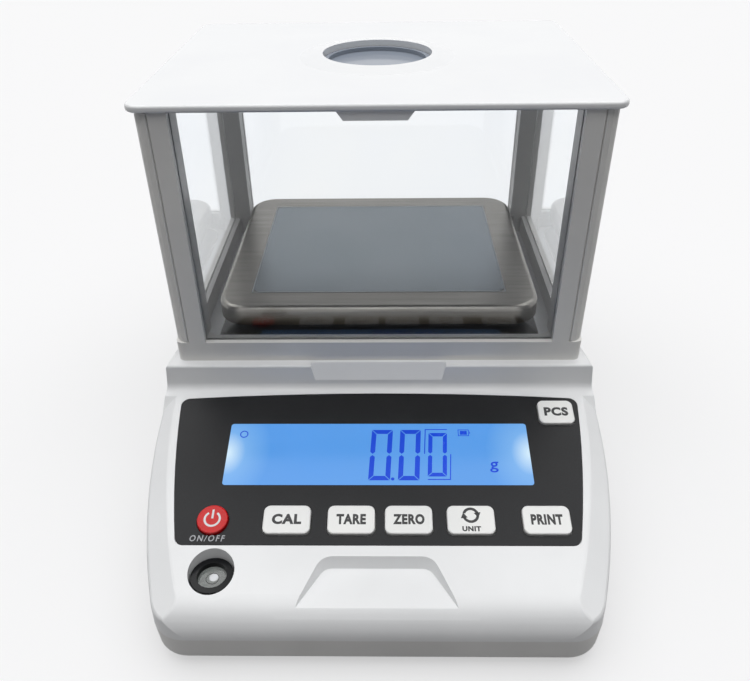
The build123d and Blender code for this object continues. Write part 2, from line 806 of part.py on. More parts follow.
# Base frame of the draught shield
post_reach_x = shield_half - post_size / 2
post_reach_y = shield_deep / 2 - post_size / 2
pane_half_x = shield_half - post_size + pane_grip
pane_half_y = shield_deep / 2 - post_size + pane_grip
pane_x = shield_half - pane_inset
pane_y = shield_deep / 2 - pane_inset
with BuildPart() as shield_frame:
    with BuildSketch(Plane.XY.offset(ledge_height)):
        with Locations((0, shield_y)):
            RectangleRounded(shield_wide, shield_deep, base_corner)
            Rectangle(shield_wide - 2 * rail_wide, shield_deep - 2 * rail_wide, mode=Mode.SUBTRACT)
            with GridLocations(2 * post_reach_x, 2 * post_reach_y, 2, 2):
                RectangleRounded(post_size, post_size, post_size / 4)
            with GridLocations(2 * (shield_half - post_size / 4), 2 * (shield_deep / 2 - post_size / 4), 2, 2):
                Rectangle(1, 1)
            for side, end in sides:
                with Locations((side * (shield_half - post_size), end * (shield_deep / 2 - rail_wide))):
                    Rectangle(post_size / 2, 1)
    extrude(amount=base_high)
    with BuildSketch(Plane.XY.offset(base_top - gusset_high)):
        with Locations((0, shield_y)):
            with GridLocations(shield_wide - 2 * gusset_in, shield_deep - 2 * gusset_back, 2, 2):
                Circle(gusset_radius)
    extrude(amount=gusset_high)
    # Grooves for the panes
    with BuildSketch(Plane.XY.offset(pane_low)):
        with Locations((0, shield_y)):
            with GridLocations(0, 2 * pane_y, 1, 2):
                Rectangle(2 * (pane_half_x + pane_play), pane_thick + 2 * pane_play)
            with GridLocations(2 * pane_x, 0, 2, 1):
                Rectangle(pane_thick + 2 * pane_play, 2 * (pane_half_y + pane_play))
    extrude(amount=pane_groove, mode=Mode.SUBTRACT)
    # Holes for the pegs and for the post screws, with sunk heads
    with BuildSketch(Plane.XY.offset(ledge_height)):
        with Locations((0, shield_y)):
            with GridLocations(shield_wide - 2 * peg_in, shield_deep - 2 * peg_in, 2, 2):
                Circle(peg_radius + peg_gap)
            with GridLocations(2 * post_reach_x, 2 * post_reach_y, 2, 2):
                Circle(screw_head_radius + head_gap)
    extrude(amount=peg_high + peg_room, mode=Mode.SUBTRACT)
    with BuildSketch(Plane.XY.offset(ledge_height)):
        with Locations((0, shield_y)):
            with GridLocations(2 * post_reach_x, 2 * post_reach_y, 2, 2):
                Circle(screw_radius + screw_gap)
    extrude(amount=base_high, mode=Mode.SUBTRACT)
save(shield_frame.part, "shield_frame")

# Corner posts: rounded outside, fluted beside the rounding, grooved for two panes
post_names = ["front_left_post", "front_right_post", "rear_left_post", "rear_right_post"]
for name, (side, end) in zip(post_names, sides):
    corner = (side * shield_half, shield_y + end * shield_deep / 2)
    with BuildPart() as post:
        with BuildSketch(Plane.XY.offset(base_top)) as post_outline:
            with Locations((corner[0] - side * post_size / 2, corner[1] - end * post_size / 2)):
                Rectangle(post_size, post_size)
            fillet(post_outline.vertices().sort_by_distance(corner)[0], post_corner)
            with Locations(
                (corner[0] - side * flute_in, corner[1]),
                (corner[0], corner[1] - end * flute_in),
            ):
                Circle(flute_radius, mode=Mode.SUBTRACT)
            with Locations((side * (pane_half_x + pane_play), corner[1] - end * pane_inset)):
                Rectangle(2 * (post_size - pane_grip), 10, mode=Mode.PRIVATE)
            with Locations((0, shield_y + end * pane_y)):
                Rectangle(2 * (pane_half_x + pane_play), pane_thick + 2 * pane_play, mode=Mode.SUBTRACT)
            with Locations((side * pane_x, shield_y)):
                Rectangle(pane_thick + 2 * pane_play, 2 * (pane_half_y + pane_play), mode=Mode.SUBTRACT)
        extrude(amount=post_high)
        with BuildSketch(Plane.XY.offset(base_top)):
            with Locations((side * post_reach_x, shield_y + end * post_reach_y)):
                Circle(screw_radius + screw_gap)
        extrude(amount=post_screw_long - base_high + peg_high + peg_room + screw_gap, mode=Mode.SUBTRACT)
    save(post.part, name)

# Panes
for name, place, wide, deep in [
    ("front_pane", (0, shield_y - pane_y), 2 * pane_half_x, pane_thick),
    ("back_pane", (0, shield_y + pane_y), 2 * pane_half_x, pane_thick),
    ("left_pane", (-pane_x, shield_y), pane_thick, 2 * pane_half_y),
    ("right_pane", (pane_x, shield_y), pane_thick, 2 * pane_half_y),
]:
    with BuildPart() as pane:
        with BuildSketch(Plane.XY.offset(pane_low)):
            with Locations(place):
                Rectangle(wide, deep)
        extrude(amount=pane_high)
    save(pane.part, name)

# Lid with a raised collar round a stepped hole, a finger tab and four nubs underneath
with BuildPart() as lid:
    with BuildSketch(Plane.XY.offset(lid_low)):
        with Locations((0, shield_y)):
            RectangleRounded(lid_wide, lid_deep, lid_corner)
    extrude(amount=lid_thick)
    fillet(lid.faces().sort_by(Axis.Z)[-1].edges(), lid_round)
    fillet(lid.faces().sort_by(Axis.Z)[0].edges(), lid_round)
    with BuildSketch(Plane.XZ.offset(-shield_y)):
        with BuildLine():
            Polyline(
                (0, lid_low + lid_thick / 2),
                (collar_radius, lid_low + lid_thick / 2),
                (collar_radius, lid_top),
                (hole_radius + collar_land, collar_top),
                (0, collar_top),
                close=True,
            )
        make_face()
    revolve(axis=Axis((0, shield_y, 0), (0, 0, 1)))
    with BuildSketch(Plane.XY.offset(step_top)):
        with Locations((0, shield_y)):
            Circle(hole_radius)
    extrude(amount=lid_thick + collar_rise, mode=Mode.SUBTRACT)
    with BuildSketch(Plane.XY.offset(lid_low)):
        with Locations((0, shield_y)):
            Circle(step_radius)
    extrude(amount=lid_thick, mode=Mode.SUBTRACT)
    with BuildSketch(Plane.XY.offset(lid_low - nub_high)):
        with Locations((0, shield_y)):
            with GridLocations(2 * nub_x, shield_deep - 2 * nub_in, 2, 2):
                Rectangle(nub_size, nub_size)
    extrude(amount=nub_high)
    with BuildSketch(Plane.XZ.offset(tab_proud - shield_front_y)):
        with BuildLine():
            Polyline(
                (-tab_top_half, lid_low),
                (tab_top_half, lid_low),
                (tab_low_half, lid_low - tab_high),
                (-tab_low_half, lid_low - tab_high),
                close=True,
            )
        make_face()
    extrude(amount=-tab_thick)
save(lid.part, "lid")

# Removable cover of the lid's hole: a shallow dish with a flange that rests on the step
with BuildPart() as hole_cover:
    with BuildSketch(Plane.XY.offset(step_top)):
        with Locations((0, shield_y)):
            Circle(hole_radius - cover_gap)
    extrude(amount=cover_flange)
    with BuildSketch(Plane.XY.offset(cover_top - cover_dish - cover_wall)):
        with Locations((0, shield_y)):
            Circle(step_radius - cover_gap)
    extrude(amount=cover_dish + cover_wall - cover_flange)
    with BuildSketch(Plane.XY.offset(cover_top - cover_dish)):
        with Locations((0, shield_y)):
            Circle(step_radius - cover_gap - cover_wall)
    extrude(amount=cover_dish, mode=Mode.SUBTRACT)
save(hole_cover.part, "hole_cover")

# Weighing pan: an inverted tray with cups that drop over the pads
pad_places = [(side * arm_reach_x, pan_y + end * arm_reach_y) for side, end in sides]
with BuildPart() as pan:
    with BuildSketch(Plane.XY.offset(pan_low)):
        with Locations((0, pan_y)):
            RectangleRounded(pan_wide, pan_deep, pan_corner)
    extrude(amount=pan_high)
    fillet(pan.faces().sort_by(Axis.Z)[-1].edges(), pan_round)
    with BuildSketch(Plane.XY.offset(pan_low)):
        with Locations((0, pan_y)):
            RectangleRounded(pan_wide - 2 * pan_sheet, pan_deep - 2 * pan_sheet, pan_corner - pan_sheet)
    extrude(amount=pan_high - pan_sheet - pan_round)
    with BuildSketch(Plane.XY.offset(pan_low)):
        with Locations((0, pan_y)):
            RectangleRounded(pan_wide - 2 * pan_sheet, pan_deep - 2 * pan_sheet, pan_corner - pan_sheet)
    extrude(amount=pan_high - pan_round, mode=Mode.SUBTRACT)
    rim = pan_round + pan_sheet / 2
    with BuildSketch(Plane.XY.offset(pan_low)):
        with Locations((0, pan_y)):
            RectangleRounded(pan_wide - 2 * rim, pan_deep - 2 * rim, pan_corner - rim)
    extrude(amount=pan_high - pan_sheet, mode=Mode.SUBTRACT)
    with BuildSketch(Plane.XY.offset(pan_top - pan_sheet - cup_high)):
        with Locations(*pad_places):
            Circle(pad_radius + cup_gap + cup_wall)
            Circle(pad_radius + cup_gap, mode=Mode.SUBTRACT)
    extrude(amount=cup_high)
save(pan.part, "pan")

with BuildPart() as pan_film:
    with BuildSketch(Plane.XY.offset(pan_top)):
        with Locations((0, pan_y)):
            RectangleRounded(film_wide, film_deep, film_corner)
    extrude(amount=film_thick)
save(pan_film.part, "pan_film")

# Support under the pan: clamp block, column, spine and two arms
with BuildPart() as pan_support:
    with BuildSketch(Plane.XY.offset(cell_top)):
        with Locations((0, column_y)):
            Rectangle(cell_wide, cell_end_long)
    extrude(amount=block_high)
    with BuildSketch(Plane.XY.offset(cell_top)):
        with Locations((0, column_y)):
            Circle(column_radius)
    extrude(amount=pad_low - cell_top)
    with BuildSketch(Plane.XY.offset(arm_low)):
        with Locations((0, (column_y + pan_y) / 2)):
            Rectangle(spine_wide, pan_y - column_y)
        with Locations((0, pan_y)):
            Rectangle(spine_wide, 2 * arm_reach_y + arm_wide)
            with GridLocations(0, 2 * arm_reach_y, 1, 2):
                SlotCenterToCenter(2 * arm_reach_x, arm_wide)
    extrude(amount=arm_thick)
    with BuildSketch(Plane.XY.offset(cell_top)):
        with Locations(*free_screws):
            Circle(cell_screw_radius + screw_gap)
    extrude(amount=cell_screw_long - cell_high + screw_gap, mode=Mode.SUBTRACT)
save(pan_support.part, "pan_support")

with BuildPart() as support_pads:
    with BuildSketch(Plane.XY.offset(pad_low)):
        with Locations(*pad_places):
            Circle(pad_radius)
    extrude(amount=pad_high)
save(support_pads.part, "support_pads")

# Dark plate under the pan
with BuildPart() as under_pan_plate:
    with BuildSketch(Plane.XY.offset(ledge_height)):
        with Locations((0, shield_y)):
            RectangleRounded(plate_wide, plate_deep, plate_corner)
        with Locations((0, column_y)):
            Circle(column_radius + column_gap, mode=Mode.SUBTRACT)
    extrude(amount=plate_thick)
save(under_pan_plate.part, "under_pan_plate")

# Load cell: a bar with two round holes joined by a slot, on a base plate
lobe_apart = cell_long - 2 * cell_end_long - 2 * cell_lobe
with BuildPart() as load_cell:
    with BuildSketch(Plane.XY.offset(cell_low)):
        with Locations((0, cell_y)):
            Rectangle(cell_wide, cell_long)
        with Locations(*fixed_screws, *free_screws):
            Circle(cell_screw_radius + screw_gap, mode=Mode.SUBTRACT)
    extrude(amount=cell_high)
    with BuildSketch(Plane.YZ):
        with Locations((cell_y - lobe_apart / 2, cell_low + cell_high / 2)):
            Circle(cell_lobe)
        with Locations((cell_y + lobe_apart / 2, cell_low + cell_high / 2)):
            Circle(cell_lobe)
        with Locations((cell_y, cell_low + cell_high / 2)):
            Rectangle(lobe_apart, cell_lobe)
    extrude(amount=cell_wide, both=True, mode=Mode.SUBTRACT)
save(load_cell.part, "load_cell")

with BuildPart() as load_cell_base:
    with BuildSketch(Plane.XY.offset(cell_pad_top)):
        with Locations((0, cell_fixed_y - cell_end_long / 2)):
            Rectangle(cell_wide + cell_base_rim, cell_end_long)
        with Locations(*fixed_screws):
            Circle(cell_screw_radius + screw_gap, mode=Mode.SUBTRACT)
    extrude(amount=cell_base_high)
save(load_cell_base.part, "load_cell_base")


def screws(name, planes, head_radius, head_high, radius, long):
    # Each plane lies on the seat of a head and faces along the shank
    with BuildPart() as made:
        for seat in planes:
            with BuildSketch(seat):
                Circle(radius)
            extrude(amount=long)
            with BuildSketch(seat.offset(-head_high)):
                Circle(head_radius)
            extrude(amount=head_high)
            with BuildSketch(seat.offset(-head_high)):
                Rectangle(head_radius * 1.3, head_radius * 0.3)
                Rectangle(head_radius * 0.3, head_radius * 1.3)
            extrude(amount=head_high * 0.4, mode=Mode.SUBTRACT)
    save(made.part, name)


cell_seats = [Plane(origin=(x, y, foot_height + cell_head_high + head_sink)) for x, y in fixed_screws]
cell_seats += [Plane(origin=(x, y, cell_low)) for x, y in free_screws]
screws("load_cell_screws", cell_seats, cell_screw_head, cell_head_high, cell_screw_radius, cell_screw_long)

board_seats = [
    Plane(origin=panel.offset(board_floor).from_local_coords((x, y, 0)), x_dir=(1, 0, 0), z_dir=panel.z_dir)
    for x, y in board_boss_places
]
board_seats += [Plane(origin=(x, y, main_top), x_dir=(1, 0, 0), z_dir=(0, 0, -1)) for x, y in main_places]
board_seats += [Plane(origin=(x, y, foot_height)) for x, y in door_places]
screws("board_screws", board_seats, screw_head_radius, screw_head_high, screw_radius, board_screw_long)

case_seats = [Plane(origin=(x, y, foot_height + screw_head_high + head_sink)) for x, y in case_screw_places]
screws("case_screws", case_seats, screw_head_radius, screw_head_high, screw_radius, case_screw_long)

post_seats = [
    Plane(origin=(side * post_reach_x, shield_y + end * post_reach_y, ledge_height + peg_high + peg_room))
    for side, end in sides
]
screws("post_screws", post_seats, screw_head_radius, screw_head_high, screw_radius, post_screw_long)

# Levelling feet: a scalloped wheel with a stud, a rubber pad under it, and a brass insert over it
foot_names = ["front_left_foot", "front_right_foot", "rear_left_foot", "rear_right_foot"]
for name, (x, y) in zip(foot_names, foot_places):
    with BuildPart() as wheel:
        with BuildSketch(Plane.XY.offset(wheel_low)):
            with Locations((x, y)):
                Circle(wheel_radius)
                with PolarLocations(wheel_radius, scallop_count):
                    Circle(scallop_radius, mode=Mode.SUBTRACT)
        extrude(amount=wheel_high)
        with BuildSketch(Plane.XY.offset(wheel_top)):
            with Locations((x, y)):
                Circle(stud_radius)
        extrude(amount=stud_long)
    save(wheel.part, name)
    with BuildPart() as foot_pad:
        with BuildSketch(Plane.XY):
            with Locations((x, y)):
                Circle(rubber_radius)
        extrude(amount=wheel_low)
    save(foot_pad.part, name + "_pad")

with BuildPart() as foot_inserts:
    with BuildSketch(Plane.XY.offset(foot_height)):
        with Locations(*foot_places):
            Circle(insert_radius)
            Circle(stud_radius + stud_gap, mode=Mode.SUBTRACT)
    extrude(amount=insert_high)
save(foot_inserts.part, "foot_inserts")

# Battery and its door
with BuildPart() as battery_pack:
    with Locations((battery_x, battery_y, foot_height + door_thick + battery_high / 2)):
        Box(battery_wide, battery_deep, battery_high)
    fillet(battery_pack.edges().filter_by(Axis.Z), battery_round)
save(battery_pack.part, "battery_pack")

with BuildPart() as battery_door:
    with BuildSketch(Plane.XY.offset(foot_height)):
        with Locations((battery_x, battery_y)):
            Rectangle(opening_wide + 2 * (door_rim - door_gap), opening_deep + 2 * (door_end - door_gap))
        with Locations(*door_places):
            Circle(screw_radius + screw_gap, mode=Mode.SUBTRACT)
    extrude(amount=door_thick)
save(battery_door.part, "battery_door")

# Main board with its sockets
with BuildPart() as main_board:
    with BuildSketch(Plane.XY.offset(main_low)):
        with Locations((main_x, main_y)):
            Rectangle(main_wide, main_deep)
        with Locations(*main_places):
            Circle(screw_radius + screw_gap, mode=Mode.SUBTRACT)
    extrude(amount=board_thick)
    with BuildSketch(Plane.XY.offset(main_top)):
        with Locations((main_x, main_y)):
            with GridLocations(chip_size * 1.6, chip_size * 2.4, 2, 2):
                Rectangle(chip_size, chip_size)
    extrude(amount=chip_high)
save(main_board.part, "main_board")

pocket_wall_y = port_floor_y - port_wall
with BuildPart() as dc_jack:
    with BuildSketch(Plane.XY.offset(main_top)):
        with Locations((jack_x, pocket_wall_y - socket_gap - jack_long / 2)):
            Rectangle(jack_wide, jack_long)
    extrude(amount=jack_high)
    with BuildSketch(Plane.XZ.offset(socket_gap - pocket_wall_y)):
        with Locations((jack_x, jack_z)):
            Circle(jack_nose)
    extrude(amount=-port_wall - socket_gap - jack_proud)
    with BuildSketch(Plane.XZ.offset(-port_floor_y - jack_proud)):
        with Locations((jack_x, jack_z)):
            Circle(jack_bore)
            Circle(jack_pin, mode=Mode.SUBTRACT)
    extrude(amount=jack_bore_deep, mode=Mode.SUBTRACT)
save(dc_jack.part, "dc_jack")

with BuildPart() as serial_port:
    serial_top = serial_z + neck_high / 2
    with BuildSketch(Plane.XY.offset(main_top)):
        with Locations((serial_x, pocket_wall_y - socket_gap - serial_long / 2)):
            Rectangle(neck_wide, serial_long)
    extrude(amount=serial_top - main_top)
    with BuildSketch(Plane.XZ.offset(socket_gap - pocket_wall_y)):
        with Locations((serial_x, serial_z)):
            Rectangle(neck_wide, neck_high)
    extrude(amount=-port_wall - socket_gap)
    with BuildSketch(Plane.XZ.offset(-port_floor_y)):
        with Locations((serial_x, serial_z)):
            RectangleRounded(flange_wide, flange_high, flange_corner)
    extrude(amount=-flange_thick)
    with BuildSketch(Plane.XZ.offset(-port_floor_y - flange_thick)):
        with Locations((serial_x, serial_z)):
            RectangleRounded(shell_wide, shell_high, shell_corner)
            inner_corner = shell_corner - shell_thick
            RectangleRounded(
                shell_wide - 2 * shell_thick, shell_high - 2 * shell_thick, inner_corner, mode=Mode.SUBTRACT
            )
            with Locations((0, contact_apart / 2)):
                with GridLocations(contact_apart, 0, 5, 1):
                    Circle(contact_radius)
            with Locations((0, -contact_apart / 2)):
                with GridLocations(contact_apart, 0, 4, 1):
                    Circle(contact_radius)
    extrude(amount=-shell_proud)
save(serial_port.part, "serial_port")
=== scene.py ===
import math
import bpy
from mathutils import Matrix, Vector


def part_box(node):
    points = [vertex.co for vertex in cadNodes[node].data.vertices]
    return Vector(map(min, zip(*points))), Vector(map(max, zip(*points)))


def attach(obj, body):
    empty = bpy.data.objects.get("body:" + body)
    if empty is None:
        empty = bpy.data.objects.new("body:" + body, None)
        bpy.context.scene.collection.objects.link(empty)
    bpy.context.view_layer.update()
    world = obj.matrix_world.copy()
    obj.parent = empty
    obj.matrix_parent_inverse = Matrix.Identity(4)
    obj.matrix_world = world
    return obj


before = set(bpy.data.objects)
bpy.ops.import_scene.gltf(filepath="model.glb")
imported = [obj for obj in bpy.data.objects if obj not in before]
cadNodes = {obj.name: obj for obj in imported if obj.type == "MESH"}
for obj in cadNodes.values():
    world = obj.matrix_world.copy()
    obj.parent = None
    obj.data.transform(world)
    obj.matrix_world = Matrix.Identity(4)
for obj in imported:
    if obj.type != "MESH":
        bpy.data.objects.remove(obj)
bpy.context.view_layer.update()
scene = bpy.context.scene
mm = 0.001
bpy.ops.object.select_all(action="DESELECT")
print("frame loaded with", len(cadNodes), "nodes")


# camera, where the photograph was taken from
cameraSettings = {"place": (4.345, -284.732, 251.550), "pitch": 34.186, "yaw": -1.254, "roll": -0.868,
                  "lens": 34.952, "sensor": 36}


def placeCamera(settings):
    pitch, yaw, roll = (math.radians(settings[k]) for k in ("pitch", "yaw", "roll"))
    ahead = Vector((math.sin(yaw) * math.cos(pitch), math.cos(yaw) * math.cos(pitch), -math.sin(pitch)))
    flat = Vector((math.cos(yaw), -math.sin(yaw), 0))
    above = flat.cross(ahead)
    side = flat * math.cos(roll) + above * math.sin(roll)
    top = above * math.cos(roll) - flat * math.sin(roll)
    spot = Vector(settings["place"]) * mm
    lens = bpy.data.cameras.new("photoLens")
    lens.lens = settings["lens"]
    lens.sensor_width = settings["sensor"]
    lens.sensor_fit = "HORIZONTAL"
    lens.clip_start = 0.01
    view = bpy.data.objects.new("photoCamera", lens)
    scene.collection.objects.link(view)
    turn = Matrix((side, top, -ahead)).transposed().to_4x4()
    view.matrix_world = Matrix.Translation(spot) @ turn
    scene.camera = view


placeCamera(cameraSettings)
scene.view_settings.view_transform = "Standard"
print("camera placed")


def paint(*levels):  # a screen colour, 0 to 255, as the shader wants it
    shares = [level / 255 for level in levels]
    return tuple(v / 12.92 if v < 0.0404 else ((v + 0.055) / 1.055) ** 2.4 for v in shares) + (1.0,)


def addMath(tree, operation):
    step = tree.nodes.new("ShaderNodeMath")
    step.operation = operation
    return step


# 1 where the eye, a reflection or a view through glass meets a surface before any soft bounce
def seenDirectly(tree):
    path = tree.nodes.new("ShaderNodeLightPath")
    first = addMath(tree, "MAXIMUM")
    second = addMath(tree, "MAXIMUM")
    early = addMath(tree, "LESS_THAN")
    early.inputs[1].default_value = 0.5
    both = addMath(tree, "MULTIPLY")
    tree.links.new(path.outputs["Is Camera Ray"], first.inputs[0])
    tree.links.new(path.outputs["Is Glossy Ray"], first.inputs[1])
    tree.links.new(first.outputs[0], second.inputs[0])
    tree.links.new(path.outputs["Is Transmission Ray"], second.inputs[1])
    tree.links.new(path.outputs["Diffuse Depth"], early.inputs[0])
    tree.links.new(second.outputs[0], both.inputs[0])
    tree.links.new(early.outputs[0], both.inputs[1])
    return both.outputs[0]


# studio: pale floor, white surroundings, one wide soft light overhead
studioSettings = {"floor": 14.0, "pale": (174, 174, 175), "bounce": (92, 92, 94), "glow": 0.50,
                  "sky": (0.985, 0.99, 1.0, 1), "surround": 0.97, "fill": 0.07,
                  "overhead": 3.1, "spread": 96, "tilt": (-5, 0)}


def layFloor(settings):
    bpy.ops.mesh.primitive_plane_add(size=settings["floor"], location=(0, 0, 0))
    floor = bpy.context.object
    floor.name = "studioFloor"
    finish = bpy.data.materials.new("studioFloorPaint")
    finish.use_nodes = True
    tree = finish.node_tree
    surface = tree.nodes["Principled BSDF"]
    surface.inputs["Roughness"].default_value = 1
    surface.inputs["Specular IOR Level"].default_value = 0
    choose = tree.nodes.new("ShaderNodeMix")
    choose.data_type = "RGBA"
    choose.inputs[6].default_value = paint(*settings["bounce"])
    choose.inputs[7].default_value = paint(*settings["pale"])
    seen = seenDirectly(tree)
    lift = addMath(tree, "MULTIPLY")
    lift.inputs[1].default_value = settings["glow"]
    tree.links.new(seen, choose.inputs[0])
    tree.links.new(seen, lift.inputs[0])
    tree.links.new(choose.outputs[2], surface.inputs["Base Color"])
    surface.inputs["Emission Color"].default_value = (1, 1, 1, 1)
    tree.links.new(lift.outputs[0], surface.inputs["Emission Strength"])
    floor.data.materials.append(finish)


def lightStudio(settings):
    world = bpy.data.worlds.new("studioWorld")
    scene.world = world
    world.use_nodes = True
    tree = world.node_tree
    glow = tree.nodes["Background"]
    glow.inputs["Color"].default_value = settings["sky"]
    level = tree.nodes.new("ShaderNodeMapRange")
    level.inputs["To Min"].default_value = settings["fill"]
    level.inputs["To Max"].default_value = settings["surround"]
    tree.links.new(seenDirectly(tree), level.inputs["Value"])
    tree.links.new(level.outputs[0], glow.inputs["Strength"])
    lamp = bpy.data.lights.new("overheadLight", "SUN")
    lamp.energy = settings["overhead"]
    lamp.angle = math.radians(settings["spread"])
    holder = bpy.data.objects.new("overheadLight", lamp)
    holder.rotation_euler = [math.radians(a) for a in settings["tilt"]] + [0]
    scene.collection.objects.link(holder)


layFloor(studioSettings)
lightStudio(studioSettings)
bpy.ops.object.select_all(action="DESELECT")
print("studio built")


# finishes: two shades that drift into each other, a grain in the gloss and in the surface
def makeFinish(name, settings):
    finish = bpy.data.materials.new(name)
    finish.use_nodes = True
    tree = finish.node_tree
    surface = tree.nodes["Principled BSDF"]
    for socket, value in settings.get("sockets", {}).items():
        surface.inputs[socket].default_value = value
    place = tree.nodes.new("ShaderNodeTexCoord")
    stretch = tree.nodes.new("ShaderNodeMapping")
    stretch.inputs["Scale"].default_value = settings.get("stretch", (1, 1, 1))
    tree.links.new(place.outputs["Object"], stretch.inputs["Vector"])
    drift = tree.nodes.new("ShaderNodeTexNoise")
    drift.inputs["Scale"].default_value = settings.get("drift", 30)
    drift.inputs["Detail"].default_value = 3
    grain = tree.nodes.new("ShaderNodeTexNoise")
    grain.inputs["Scale"].default_value = settings.get("grain", 2500)
    grain.inputs["Detail"].default_value = 2
    tree.links.new(stretch.outputs["Vector"], drift.inputs["Vector"])
    tree.links.new(stretch.outputs["Vector"], grain.inputs["Vector"])
    shades = tree.nodes.new("ShaderNodeMix")
    shades.data_type = "RGBA"
    shades.inputs[6].default_value = paint(*settings["shades"][0])
    shades.inputs[7].default_value = paint(*settings["shades"][1])
    spread = tree.nodes.new("ShaderNodeMapRange")
    spread.inputs["From Min"].default_value = 0.35
    spread.inputs["From Max"].default_value = 0.65
    tree.links.new((grain if settings.get("fineColour") else drift).outputs["Fac"], spread.inputs["Value"])
    tree.links.new(spread.outputs[0], shades.inputs[0])
    tree.links.new(shades.outputs[2], surface.inputs["Base Color"])
    gloss = tree.nodes.new("ShaderNodeMapRange")
    gloss.inputs["From Min"].default_value = 0.3
    gloss.inputs["From Max"].default_value = 0.7
    gloss.inputs["To Min"].default_value = settings["rough"][0]
    gloss.inputs["To Max"].default_value = settings["rough"][1]
    tree.links.new(drift.outputs["Fac"], gloss.inputs["Value"])
    tree.links.new(gloss.outputs[0], surface.inputs["Roughness"])
    if settings.get("relief"):
        relief = tree.nodes.new("ShaderNodeBump")
        relief.inputs["Strength"].default_value = settings["relief"]
        relief.inputs["Distance"].default_value = settings.get("depth", 0.00005)
        tree.links.new(grain.outputs["Fac"], relief.inputs["Height"])
        tree.links.new(relief.outputs["Normal"], surface.inputs["Normal"])
    return finish


finishSettings = {
    "housingPlastic": {"shades": ((238, 239, 240), (234, 235, 236)), "rough": (0.38, 0.46), "grain": 2200,
                       "relief": 0.12},
    "basePlastic": {"shades": ((232, 231, 229), (226, 225, 223)), "rough": (0.45, 0.55), "grain": 1800,
                    "relief": 0.2},
    "framePlastic": {"shades": ((236, 235, 232), (229, 228, 226)), "rough": (0.32, 0.42), "grain": 2000,
                     "relief": 0.15},
    "lidPlastic": {"shades": ((241, 242, 243), (237, 238, 240)), "rough": (0.1, 0.17), "grain": 900,
                   "relief": 0.03, "sockets": {"Coat Weight": 0.3, "Coat Roughness": 0.06}},
    "overlayFilm": {"shades": ((12, 13, 15), (22, 23, 26)), "rough": (0.3, 0.4), "grain": 3200, "relief": 0.2,
                    "fineColour": True, "sockets": {"Specular IOR Level": 0.2}},
    "keyWhite": {"shades": ((242, 242, 240), (236, 237, 236)), "rough": (0.33, 0.42), "grain": 1800,
                 "relief": 0.1},
    "keyRed": {"shades": ((206, 16, 18), (190, 12, 15)), "rough": (0.24, 0.32), "grain": 1800, "relief": 0.08,
               "sockets": {"Specular IOR Level": 0.3}},
    "blackPlastic": {"shades": ((20, 20, 21), (27, 27, 29)), "rough": (0.35, 0.5), "grain": 1500,
                     "relief": 0.25, "sockets": {"Specular IOR Level": 0.35}},
    "levelRing": {"shades": ((8, 9, 12), (13, 14, 17)), "rough": (0.2, 0.3), "grain": 1500, "relief": 0.1,
                  "sockets": {"Specular IOR Level": 0.2}},
    "softRubber": {"shades": ((30, 30, 31), (38, 38, 39)), "rough": (0.75, 0.9), "grain": 1200,
                   "relief": 0.4},
    "panSteel": {"shades": ((126, 123, 118), (113, 110, 105)), "rough": (0.28, 0.36), "stretch": (0.05, 1, 1),
                 "drift": 420, "grain": 1800, "relief": 0.08, "depth": 0.00002, "sockets": {"Metallic": 1.0}},
    "panFilm": {"shades": ((107, 114, 120), (102, 110, 116)), "rough": (0.3, 0.34), "drift": 24,
                "sockets": {"Metallic": 1.0}},
    "castMetal": {"shades": ((196, 198, 200), (180, 182, 185)), "rough": (0.35, 0.5), "grain": 900,
                  "relief": 0.3, "sockets": {"Metallic": 1.0}},
    "zincSteel": {"shades": ((200, 199, 192), (184, 184, 180)), "rough": (0.22, 0.34), "grain": 1200,
                  "relief": 0.15, "sockets": {"Metallic": 1.0}},
    "turnedBrass": {"shades": ((214, 178, 102), (198, 160, 86)), "rough": (0.2, 0.32), "stretch": (1, 1, 8),
                    "grain": 900, "relief": 0.2, "sockets": {"Metallic": 1.0}},
    "boardLaminate": {"shades": ((28, 98, 56), (20, 82, 46)), "rough": (0.3, 0.45), "grain": 1100,
                      "relief": 0.25},
    "batteryCase": {"shades": ((46, 47, 50), (58, 59, 62)), "rough": (0.4, 0.55), "grain": 1300,
                    "relief": 0.3},
    "smokedCover": {"shades": ((146, 154, 166), (139, 147, 160)), "rough": (0.1, 0.16), "drift": 12,
                    "grain": 500, "relief": 0.02, "sockets": {"Specular IOR Level": 0.4}},
    "paneGlass": {"shades": ((254, 255, 255), (251, 253, 255)), "rough": (0.0, 0.0), "drift": 10, "grain": 60,
                  "sockets": {"Transmission Weight": 1.0, "IOR": 1.38}},
    "vialClear": {"shades": ((244, 248, 246), (232, 240, 236)), "rough": (0.02, 0.06), "drift": 60,
                  "grain": 200, "sockets": {"Transmission Weight": 0.8, "IOR": 1.4}},
    "levelFluid": {"shades": ((222, 228, 222), (206, 214, 206)), "rough": (0.08, 0.14), "drift": 90,
                   "grain": 300, "relief": 0.02},
    "displayBack": {"shades": ((96, 160, 240), (84, 148, 232)), "rough": (0.2, 0.3), "drift": 60,
                    "grain": 800, "relief": 0.05},
    "inkBlack": {"shades": ((22, 22, 24), (32, 32, 34)), "rough": (0.45, 0.6), "grain": 2600, "relief": 0.15},
    "inkPale": {"shades": ((226, 228, 230), (214, 216, 219)), "rough": (0.45, 0.6), "grain": 2600,
                "relief": 0.15},
    "inkGrey": {"shades": ((176, 178, 182), (160, 162, 166)), "rough": (0.45, 0.6), "grain": 2600,
                "relief": 0.15},
    # painted highlight along the pan film's edge
    "filmEdgeHighlight": {"shades": ((206, 210, 216), (184, 190, 198)), "rough": (0.2, 0.35), "grain": 900,
                 "relief": 0.1},
}
finishes = {name: makeFinish(name, settings) for name, settings in finishSettings.items()}
